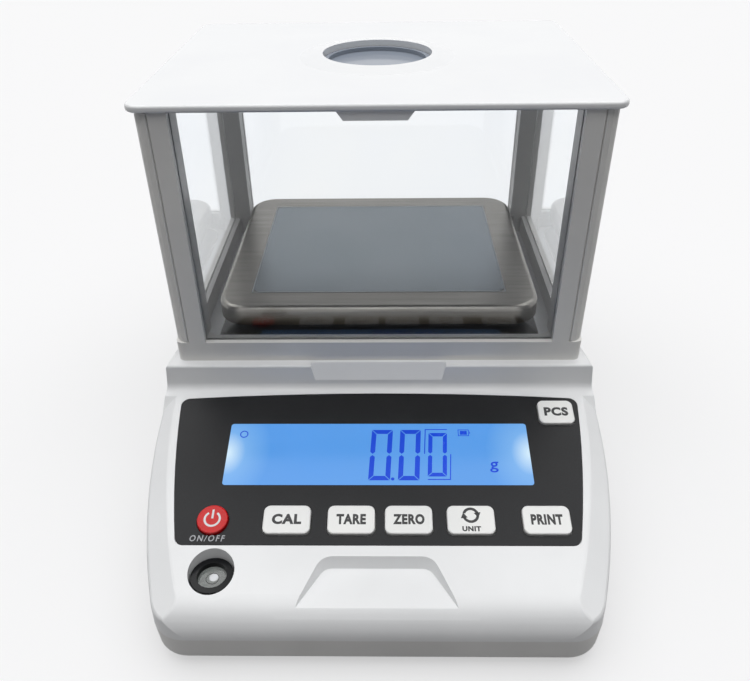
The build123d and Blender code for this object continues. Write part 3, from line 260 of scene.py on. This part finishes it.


# painted shade: the pan's skirt is painted darker and browner than its top, more so towards its lower edge,
# and the red key is painted darker around its rim
skirtPaintedShade = {"shade": (88, 80, 68), "low": 0.0775, "high": 0.0838}
keyRimPaintedShade = {"shade": (140, 8, 12), "inner": 0.0066, "outer": 0.0072}


# the measure runs from its value where the finish stays bare to its value where the painted shade covers it
def addPaintedShade(finish, shade, measure, bare, covered):
    tree = finish.node_tree
    surface = tree.nodes["Principled BSDF"]
    ownColour = surface.inputs["Base Color"].links[0].from_socket
    share = tree.nodes.new("ShaderNodeMapRange")
    share.inputs["From Min"].default_value = bare
    share.inputs["From Max"].default_value = covered
    blend = tree.nodes.new("ShaderNodeMix")
    blend.data_type = "RGBA"
    blend.inputs[7].default_value = paint(*shade)
    tree.links.new(measure, share.inputs["Value"])
    tree.links.new(share.outputs[0], blend.inputs[0])
    tree.links.new(ownColour, blend.inputs[6])
    tree.links.new(blend.outputs[2], surface.inputs["Base Color"])


# painted shade on the pan's skirt, darker and browner towards its lower edge
def paintShadeOnSkirt(settings):
    tree = finishes["panSteel"].node_tree
    place = tree.nodes.new("ShaderNodeTexCoord")
    split = tree.nodes.new("ShaderNodeSeparateXYZ")
    tree.links.new(place.outputs["Object"], split.inputs[0])
    addPaintedShade(finishes["panSteel"], settings["shade"], split.outputs["Z"],
                   settings["high"], settings["low"])


# painted shade around the red key's rim, darker red from the inner radius outward
def paintShadeOnKeyRim(settings):
    low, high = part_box("power_key")
    tree = finishes["keyRed"].node_tree
    place = tree.nodes.new("ShaderNodeTexCoord")
    reach = tree.nodes.new("ShaderNodeVectorMath")
    reach.operation = "DISTANCE"
    reach.inputs[1].default_value = (low + high) / 2
    tree.links.new(place.outputs["Object"], reach.inputs[0])
    addPaintedShade(finishes["keyRed"], settings["shade"], reach.outputs["Value"],
                   settings["inner"], settings["outer"])


paintShadeOnSkirt(skirtPaintedShade)
paintShadeOnKeyRim(keyRimPaintedShade)

# the lit display: even blue, with a pale glow spreading in from the middle of each end
displaySettings = {"middle": (88, 158, 234), "end": (214, 240, 255), "glow": 0.9, "reach": 0.018,
                   "flatten": 0.75, "core": 0.05, "fadeAt": 0.42, "fadeShare": 0.28}
displayGlass = {"shades": ((20, 40, 70), (24, 48, 84)), "rough": (0.12, 0.2), "drift": 40, "grain": 2400,
                "relief": 0.05, "sockets": {"Specular IOR Level": 0.25}}


def makeDisplayFinish(settings):
    finish = makeFinish("litDisplay", displayGlass)
    tree = finish.node_tree
    surface = tree.nodes["Principled BSDF"]
    place = tree.nodes.new("ShaderNodeTexCoord")
    nearest = addMath(tree, "MINIMUM")
    low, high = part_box("display_window")
    middleY = (low.y + high.y) / 2
    for number, endX in enumerate((low.x, high.x)):
        squeeze = tree.nodes.new("ShaderNodeMapping")
        squeeze.inputs["Location"].default_value = (-endX, -middleY * settings["flatten"], 0)
        squeeze.inputs["Scale"].default_value = (1, settings["flatten"], 0)
        length = tree.nodes.new("ShaderNodeVectorMath")
        length.operation = "LENGTH"
        tree.links.new(place.outputs["Object"], squeeze.inputs["Vector"])
        tree.links.new(squeeze.outputs["Vector"], length.inputs[0])
        tree.links.new(length.outputs["Value"], nearest.inputs[number])
    share = tree.nodes.new("ShaderNodeMapRange")
    share.inputs["From Max"].default_value = settings["reach"]
    ramp = tree.nodes.new("ShaderNodeValToRGB")
    stops = ramp.color_ramp.elements
    stops[0].color = paint(*settings["end"])
    stops[0].position = settings["core"]
    stops[1].color = paint(*settings["middle"])
    stops[1].position = 1.0
    paleness = settings["fadeShare"]
    between = stops.new(settings["fadeAt"])
    pairs = zip(settings["middle"], settings["end"])
    between.color = paint(*[round(middle + (end - middle) * paleness) for middle, end in pairs])
    tree.links.new(nearest.outputs[0], share.inputs["Value"])
    tree.links.new(share.outputs[0], ramp.inputs[0])
    tree.links.new(ramp.outputs[0], surface.inputs["Emission Color"])
    surface.inputs["Emission Strength"].default_value = settings["glow"]
    return finish


finishes["litDisplay"] = makeDisplayFinish(displaySettings)


# figures on the display, lit from behind
figureInk = {"colour": (14, 62, 190), "glow": 0.6, "shades": ((14, 62, 190), (13, 56, 171)),
             "rough": (0.25, 0.35), "grain": 2400, "relief": 0.05, "sockets": {"Specular IOR Level": 0.2}}


def makeGlowInk(name, settings):
    finish = makeFinish(name, settings)
    surface = finish.node_tree.nodes["Principled BSDF"]
    surface.inputs["Emission Color"].default_value = paint(*settings["colour"])
    surface.inputs["Emission Strength"].default_value = settings["glow"]
    return finish


finishes["figureBlue"] = makeGlowInk("figureBlue", figureInk)

finishOfNode = {
    "housingPlastic": ["upper_housing"],
    "basePlastic": ["lower_housing", "battery_door"],
    "framePlastic": ["shield_frame", "front_left_post", "front_right_post", "rear_left_post",
                     "rear_right_post"],
    "lidPlastic": ["lid"],
    "overlayFilm": ["keypad_overlay"],
    "litDisplay": ["display_window"],
    "displayBack": ["display_glass", "display_module"],
    "keyWhite": ["cal_key", "tare_key", "zero_key", "unit_key", "print_key", "pcs_key"],
    "keyRed": ["power_key"],
    "blackPlastic": ["key_switches", "under_pan_plate", "dc_jack", "front_left_foot", "front_right_foot",
                     "rear_left_foot", "rear_right_foot"],
    "levelRing": ["level_ring"],
    "softRubber": ["support_pads", "front_left_foot_pad", "front_right_foot_pad", "rear_left_foot_pad",
                   "rear_right_foot_pad"],
    "panSteel": ["pan"],
    "panFilm": ["pan_film"],
    "castMetal": ["pan_support", "load_cell", "load_cell_base"],
    "zincSteel": ["post_screws", "load_cell_screws", "board_screws", "case_screws", "serial_port"],
    "turnedBrass": ["foot_inserts"],
    "boardLaminate": ["display_board", "main_board"],
    "batteryCase": ["battery_pack"],
    "smokedCover": ["hole_cover"],
    "paneGlass": ["front_pane", "back_pane", "left_pane", "right_pane"],
    "vialClear": ["level_vial"],
    "levelFluid": ["level_fluid"],
}
dressed = []
for finishName, names in finishOfNode.items():
    for name in names:
        mesh = cadNodes[name].data
        mesh.materials.clear()
        mesh.materials.append(finishes[finishName])
        dressed.append(name)
undressed = sorted(set(cadNodes) - set(dressed))
print("nodes dressed:", len(dressed), "left:", undressed)


# places on the sloping panel: across, down the slope, above it
panelSettings = {"tilt": 15.0, "backY": -34.9, "backZ": 53.0}


def panelPlace(across, down, above):
    tilt = math.radians(panelSettings["tilt"])
    y = panelSettings["backY"] - down * math.cos(tilt) - above * math.sin(tilt)
    z = panelSettings["backZ"] - down * math.sin(tilt) + above * math.cos(tilt)
    return Matrix.Translation(Vector((across, y, z)) * mm) @ Matrix.Rotation(tilt, 4, "X")


# a piece's place goes into its mesh, and its object stays at the origin
def settle(piece, name, finish, body, place):
    piece.name = name
    piece.data.name = name
    piece.data.transform(place @ piece.matrix_world)
    piece.matrix_world = Matrix.Identity(4)
    piece.data.materials.clear()
    piece.data.materials.append(finishes[finish])
    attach(piece, body)
    piece.select_set(False)
    return piece


def onlyActive(piece):
    bpy.ops.object.select_all(action="DESELECT")
    piece.select_set(True)
    bpy.context.view_layer.objects.active = piece


def thicken(piece, thick):
    onlyActive(piece)
    wall = piece.modifiers.new("thick", "SOLIDIFY")
    wall.thickness = thick * mm
    wall.offset = 1
    bpy.ops.object.modifier_apply(modifier="thick")


def joinAll(pieces):
    bpy.ops.object.select_all(action="DESELECT")
    for piece in pieces:
        piece.select_set(True)
    bpy.context.view_layer.objects.active = pieces[0]
    bpy.ops.object.transform_apply(location=True, rotation=True, scale=True)
    bpy.ops.object.join()
    return bpy.context.object


# a word as a thin raised print, sized by its width and capital height
def makeWord(words, wide, tall, thick, weight, lean=0.0, apart=1.12):
    bpy.ops.object.text_add(location=(0, 0, 0))
    text = bpy.context.object
    text.data.body = words
    text.data.size = 1
    text.data.space_character = apart
    text.data.offset = weight
    text.data.resolution_u = 4
    text.data.extrude = 0.01
    onlyActive(text)
    bpy.ops.object.convert(target="MESH")
    word = bpy.context.object
    spots = [v.co for v in word.data.vertices]
    low = Vector([min(s[i] for s in spots) for i in range(3)])
    high = Vector([max(s[i] for s in spots) for i in range(3)])
    middle = (low + high) / 2
    size = high - low
    fit = Matrix.Diagonal((wide * mm / size.x, tall * mm / size.y, thick * mm / size.z, 1))
    slant = Matrix.Identity(4)
    slant[0][1] = lean
    word.data.transform(slant @ fit @ Matrix.Translation((-middle.x, -middle.y, -low.z)))
    return word


# each word: across and down the panel, width and capital height in mm, and the key that carries it
legendSettings = {
    "thick": 0.05, "weight": 0.05, "keyTop": 1.5,
    "words": {
        "calLegend": ("CAL", -34.7, 59.9, 11.3, 4.3, "cal_key_body"),
        "tareLegend": ("TARE", -10.0, 59.9, 11.3, 4.3, "tare_key_body"),
        "zeroLegend": ("ZERO", 12.0, 59.9, 12.0, 4.3, "zero_key_body"),
        "printLegend": ("PRINT", 64.5, 59.9, 12.1, 4.3, "print_key_body"),
        "pcsLegend": ("PCS", 75.5, 9.9, 10.1, 4.4, "pcs_key_body"),
        "unitLegend": ("UNIT", 35.7, 63.8, 7.1, 2.1, "unit_key_body"),
    },
}
for name, (words, across, down, wide, tall, body) in legendSettings["words"].items():
    word = makeWord(words, wide, tall, legendSettings["thick"], legendSettings["weight"])
    settle(word, name, "inkBlack", body, panelPlace(across, down, legendSettings["keyTop"]))
switchLegend = {"words": "ON/OFF", "across": -64.4, "down": 67.2, "above": 0.1, "wide": 13.2, "tall": 2.5,
                "thick": 0.03, "weight": 0.014, "lean": 0.12, "apart": 1.35}
word = makeWord(switchLegend["words"], switchLegend["wide"], switchLegend["tall"], switchLegend["thick"],
                switchLegend["weight"], switchLegend["lean"], switchLegend["apart"])
settle(word, "switchLegend", "inkGrey", "balance",
       panelPlace(switchLegend["across"], switchLegend["down"], switchLegend["above"]))
print("legends printed")


def flatRing(outer, stroke, gaps=(), sides=96):  # a flat ring, open between the angles given
    bpy.ops.mesh.primitive_circle_add(vertices=sides, radius=outer * mm, fill_type="NGON", location=(0, 0, 0))
    ring = bpy.context.object
    onlyActive(ring)
    bpy.ops.object.mode_set(mode="EDIT")
    bpy.ops.mesh.select_mode(type="FACE")
    bpy.ops.mesh.select_all(action="SELECT")
    bpy.ops.mesh.inset(thickness=stroke * mm, use_even_offset=True)
    bpy.ops.mesh.delete(type="FACE")
    bpy.ops.object.mode_set(mode="OBJECT")
    if gaps:
        for face in ring.data.polygons:
            angle = math.degrees(math.atan2(face.center.y, face.center.x)) % 360
            face.select = any(low < angle < high for low, high in gaps)
        bpy.ops.object.mode_set(mode="EDIT")
        bpy.ops.mesh.delete(type="FACE")
        bpy.ops.object.mode_set(mode="OBJECT")
    return ring


def flatStroke(start, end, stroke):  # a straight printed line with square ends
    start, end = Vector(start) * mm, Vector(end) * mm
    run = end - start
    bpy.ops.mesh.primitive_plane_add(size=1, location=(0, 0, 0))
    line = bpy.context.object
    turn = Matrix.Rotation(math.atan2(run.y, run.x), 4, "Z")
    middle = (start + end) / 2
    size = Matrix.Diagonal((run.length, stroke * mm, 1, 1))
    line.data.transform(Matrix.Translation((middle.x, middle.y, 0)) @ turn @ size)
    return line


def arrowHead(spot, aim, size):
    bpy.ops.mesh.primitive_circle_add(vertices=3, radius=size * mm, fill_type="NGON", location=(0, 0, 0))
    head = bpy.context.object
    turn = Matrix.Rotation(math.radians(aim - 90), 4, "Z")
    head.data.transform(Matrix.Translation(Vector((spot[0], spot[1], 0)) * mm) @ turn)
    return head


# the on and off mark on the red key, and the two turning arrows on the unit key
powerMark = {"across": -63.3, "down": 59.9, "outer": 3.3, "stroke": 0.8, "gap": (58, 122),
             "bar": ((0, 0.2), (0, 3.9))}
mark = joinAll([flatRing(powerMark["outer"], powerMark["stroke"], [powerMark["gap"]]),
                flatStroke(*powerMark["bar"], powerMark["stroke"])])
thicken(mark, legendSettings["thick"])
settle(mark, "powerMark", "inkPale", "power_key_body",
       panelPlace(powerMark["across"], powerMark["down"], legendSettings["keyTop"]))
# the upper arrow runs down at the right, the lower one up at the left, each at the end of a gap
unitMark = {"across": 35.7, "down": 58.2, "outer": 3.2, "stroke": 1.05, "gaps": [(0, 14), (160, 194)],
            "heads": (8, 188), "head": 1.5}
reach = unitMark["outer"] - unitMark["stroke"] / 2
heads = []
for angle in unitMark["heads"]:
    turn = math.radians(angle)
    heads.append(arrowHead((reach * math.cos(turn), reach * math.sin(turn)), angle - 90, unitMark["head"]))
mark = joinAll([flatRing(unitMark["outer"], unitMark["stroke"], unitMark["gaps"])] + heads)
thicken(mark, legendSettings["thick"])
settle(mark, "unitMark", "inkBlack", "unit_key_body",
       panelPlace(unitMark["across"], unitMark["down"], legendSettings["keyTop"]))
print("key marks made")


# a segmented nought: a mitred frame, cut at mid height, with slits between its segments
def makeFigure(wide, tall, stroke, settings):
    slit = settings["slit"]
    bpy.ops.mesh.primitive_plane_add(size=1, location=(0, 0, 0))
    figure = bpy.context.object
    onlyActive(figure)
    figure.data.transform(Matrix.Diagonal((wide * mm, tall * mm, 1, 1)))
    bpy.ops.object.mode_set(mode="EDIT")
    bpy.ops.mesh.select_mode(type="FACE")
    bpy.ops.mesh.select_all(action="SELECT")
    bpy.ops.mesh.inset(thickness=stroke * mm, use_even_offset=True)
    bpy.ops.mesh.delete(type="FACE")
    bpy.ops.mesh.select_all(action="SELECT")
    bpy.ops.mesh.bisect(plane_co=(0, 0, 0), plane_no=(0, 1, 0))
    bpy.ops.mesh.select_all(action="SELECT")
    bpy.ops.mesh.edge_split()
    bpy.ops.mesh.select_all(action="SELECT")
    bpy.ops.mesh.inset(thickness=slit * mm, use_individual=True, use_even_offset=True, use_boundary=True)
    bpy.ops.mesh.select_all(action="INVERT")
    bpy.ops.mesh.delete(type="FACE")
    spine = (wide - stroke) / 2 * mm
    for side in (spine, -spine):  # a point at the middle of each upright's square end
        bpy.ops.mesh.select_all(action="SELECT")
        bpy.ops.mesh.bisect(plane_co=(side, 0, 0), plane_no=(1, 0, 0))
    bpy.ops.object.mode_set(mode="OBJECT")
    for corner in figure.data.vertices:
        if abs(corner.co.y) < slit * 2 * mm:
            pointed = abs(abs(corner.co.x) - spine) < 0.1 * mm
            setBack = 0 if pointed else stroke * settings["shoulder"]
            corner.co.y = math.copysign((settings["waist"] + setBack) * mm, corner.co.y)
    return figure


# what the display shows: three noughts, a decimal point, a bracket, a ring, a battery and the gram sign
# places are across and down the panel in mm, lines are across and up from its top edge
readout = {
    "above": 0.1, "thick": 0.03, "slit": 0.15, "waist": 0.3, "shoulder": 0.38, "lean": 0.055,
    "figures": {"firstFigure": (1.2, 30.3, 9.1, 24.3, 2.3), "secondFigure": (13.0, 30.3, 8.9, 24.3, 2.3),
                "thirdFigure": (24.4, 30.2, 8.0, 21.0, 2.0)},
    "point": {"across": 6.0, "down": 41.7, "radius": 0.7},
    "bracket": {"stroke": 0.42, "lines": [((19.1, -30.0), (19.8, -18.1)), ((19.65, -18.1), (28.9, -18.1)),
                                          ((20.0, -41.9), (29.1, -41.9)), ((29.0, -42.05), (29.8, -30.2))]},
    "battery": {"stroke": 0.3, "lines": [((33.4, -18.3), (37.9, -18.3)), ((33.4, -21.2), (37.9, -21.2)),
                                         ((33.5, -18.15), (33.5, -21.35)), ((37.8, -18.15), (37.8, -21.35)),
                                         ((38.3, -19.2), (38.3, -20.3))],
                "fill": 1.9, "charge": ((34.2, -19.75), (37.1, -19.75))},
    "ring": {"across": -56.2, "down": 20.4, "outer": 1.75, "stroke": 0.45},
    "gram": {"across": 47.0, "down": 36.2, "wide": 3.4, "tall": 5.0, "weight": 0.012, "lean": 0.06},
}


def settleFigure(piece, name, across, down):
    settle(piece, name, "figureBlue", "balance", panelPlace(across, down, readout["above"]))


for name, (across, down, wide, tall, stroke) in readout["figures"].items():
    figure = makeFigure(wide, tall, stroke, readout)
    slant = Matrix.Identity(4)
    slant[0][1] = readout["lean"]
    figure.data.transform(slant)
    thicken(figure, readout["thick"])
    settleFigure(figure, name, across, down)
dot = readout["point"]
bpy.ops.mesh.primitive_circle_add(vertices=24, radius=dot["radius"] * mm, fill_type="NGON",
                                  location=(0, 0, 0))
point = bpy.context.object
thicken(point, readout["thick"])
settleFigure(point, "decimalPoint", dot["across"], dot["down"])
frameLines = readout["bracket"]
bracket = joinAll([flatStroke(start, end, frameLines["stroke"]) for start, end in frameLines["lines"]])
thicken(bracket, readout["thick"])
settleFigure(bracket, "figureBracket", 0, 0)
cell = readout["battery"]
battery = joinAll([flatStroke(start, end, cell["stroke"]) for start, end in cell["lines"]]
                  + [flatStroke(*cell["charge"], cell["fill"])])
thicken(battery, readout["thick"])
settleFigure(battery, "batterySign", 0, 0)
loop = readout["ring"]
ring = flatRing(loop["outer"], loop["stroke"], sides=48)
thicken(ring, readout["thick"])
settleFigure(ring, "stableRing", loop["across"], loop["down"])
letter = readout["gram"]
gram = makeWord("g", letter["wide"], letter["tall"], readout["thick"], letter["weight"], letter["lean"])
settleFigure(gram, "gramSign", letter["across"], letter["down"])
print("display figures made")


# spirit level: the circle mark on the vial and the bubble under it
levelSettings = {"across": -60.9, "deep": -112.2, "top": 28.0, "mark": 2.5, "stroke": 0.22, "thick": 0.03,
                 "bubble": 1.7, "flatten": 0.16, "drift": (0.4, 0.5)}
vialMiddle = Vector((levelSettings["across"], levelSettings["deep"], levelSettings["top"])) * mm
vialTop = Matrix.Translation(vialMiddle)
mark = flatRing(levelSettings["mark"], levelSettings["stroke"], sides=64)
thicken(mark, levelSettings["thick"])
settle(mark, "levelMark", "inkBlack", "balance", vialTop)
bpy.ops.mesh.primitive_uv_sphere_add(segments=32, ring_count=16, radius=levelSettings["bubble"] * mm,
                                     location=(0, 0, 0))
bubble = bpy.context.object
onlyActive(bubble)
bpy.ops.object.mode_set(mode="EDIT")
bpy.ops.mesh.select_all(action="SELECT")
bpy.ops.mesh.bisect(plane_co=(0, 0, 0), plane_no=(0, 0, 1), use_fill=True, clear_inner=True)
bpy.ops.object.mode_set(mode="OBJECT")
bubble.data.transform(Matrix.Diagonal((1, 1, levelSettings["flatten"], 1)))
bpy.ops.object.shade_smooth_by_angle(angle=math.radians(40))
driftX, driftY = levelSettings["drift"]
settle(bubble, "levelBubble", "inkPale", "balance",
       vialTop @ Matrix.Translation(Vector((driftX, driftY, 0)) * mm))
print("level marked")


# fine ribs down the outer corner of each post
ribSettings = {"angles": (12, 30, 48, 66, 84), "corner": 6.5, "radius": 0.42, "proud": 0.12,
               "low": 75.0, "high": 173.4, "endInset": 0.4, "endRise": 0.3}


def makeRibs(post, name, settings):
    low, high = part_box(post)
    shieldLow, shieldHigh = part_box("shield_frame")
    sideX = 1 if low.x + high.x > 0 else -1
    sideY = 1 if low.y + high.y > shieldLow.y + shieldHigh.y else -1
    outX = high.x if sideX > 0 else low.x
    outY = high.y if sideY > 0 else low.y
    corner = settings["corner"] * mm
    centreX, centreY = outX - sideX * corner, outY - sideY * corner
    tall = (settings["high"] - settings["low"]) * mm
    ribs = []
    for angle in settings["angles"]:
        turn = math.radians(angle)
        reach = corner + (settings["proud"] - settings["radius"]) * mm
        spot = (centreX + sideX * reach * math.sin(turn), centreY + sideY * reach * math.cos(turn),
                settings["low"] * mm + tall / 2)
        radius = settings["radius"] * mm
        bpy.ops.mesh.primitive_cylinder_add(vertices=12, radius=radius, depth=tall, location=spot)
        rib = bpy.context.object
        onlyActive(rib)
        bpy.ops.object.mode_set(mode="EDIT")
        bpy.ops.mesh.select_mode(type="FACE")
        bpy.ops.mesh.select_all(action="DESELECT")
        bpy.ops.object.mode_set(mode="OBJECT")
        for face in rib.data.polygons:
            face.select = abs(face.normal.z) > 0.9
        bpy.ops.object.mode_set(mode="EDIT")
        bpy.ops.mesh.inset(thickness=radius * settings["endInset"], depth=radius * settings["endRise"],
                           use_individual=True)
        bpy.ops.object.mode_set(mode="OBJECT")
        bpy.ops.object.shade_smooth_by_angle(angle=math.radians(40))
        ribs.append(rib)
    settle(joinAll(ribs), name, "framePlastic", "shield", Matrix.Identity(4))


for post, name in (("front_left_post", "frontLeftRibs"), ("front_right_post", "frontRightRibs"),
                   ("rear_left_post", "rearLeftRibs"), ("rear_right_post", "rearRightRibs")):
    makeRibs(post, name, ribSettings)
print("post ribs made")


# painted highlight: a pale line along the pan film's cut edge
filmEdgeHighlight = {"wide": 114.7, "deep": 94.3, "line": 0.5, "centre": (0.0, 47.0), "top": 85.15, "thick": 0.04}
bpy.ops.mesh.primitive_plane_add(size=1, location=(0, 0, 0))
edge = bpy.context.object
onlyActive(edge)
edge.data.transform(Matrix.Diagonal((filmEdgeHighlight["wide"] * mm, filmEdgeHighlight["deep"] * mm, 1, 1)))
bpy.ops.object.mode_set(mode="EDIT")
bpy.ops.mesh.select_mode(type="FACE")
bpy.ops.mesh.select_all(action="SELECT")
bpy.ops.mesh.inset(thickness=filmEdgeHighlight["line"] * mm, use_even_offset=True)
bpy.ops.mesh.delete(type="FACE")
bpy.ops.object.mode_set(mode="OBJECT")
thicken(edge, filmEdgeHighlight["thick"])
settle(edge, "panFilmEdgeHighlight", "filmEdgeHighlight", "pan_body",
       Matrix.Translation(Vector((filmEdgeHighlight["centre"][0], filmEdgeHighlight["centre"][1], filmEdgeHighlight["top"])) * mm))
print("film edge made")

bpy.ops.object.select_all(action="DESELECT")
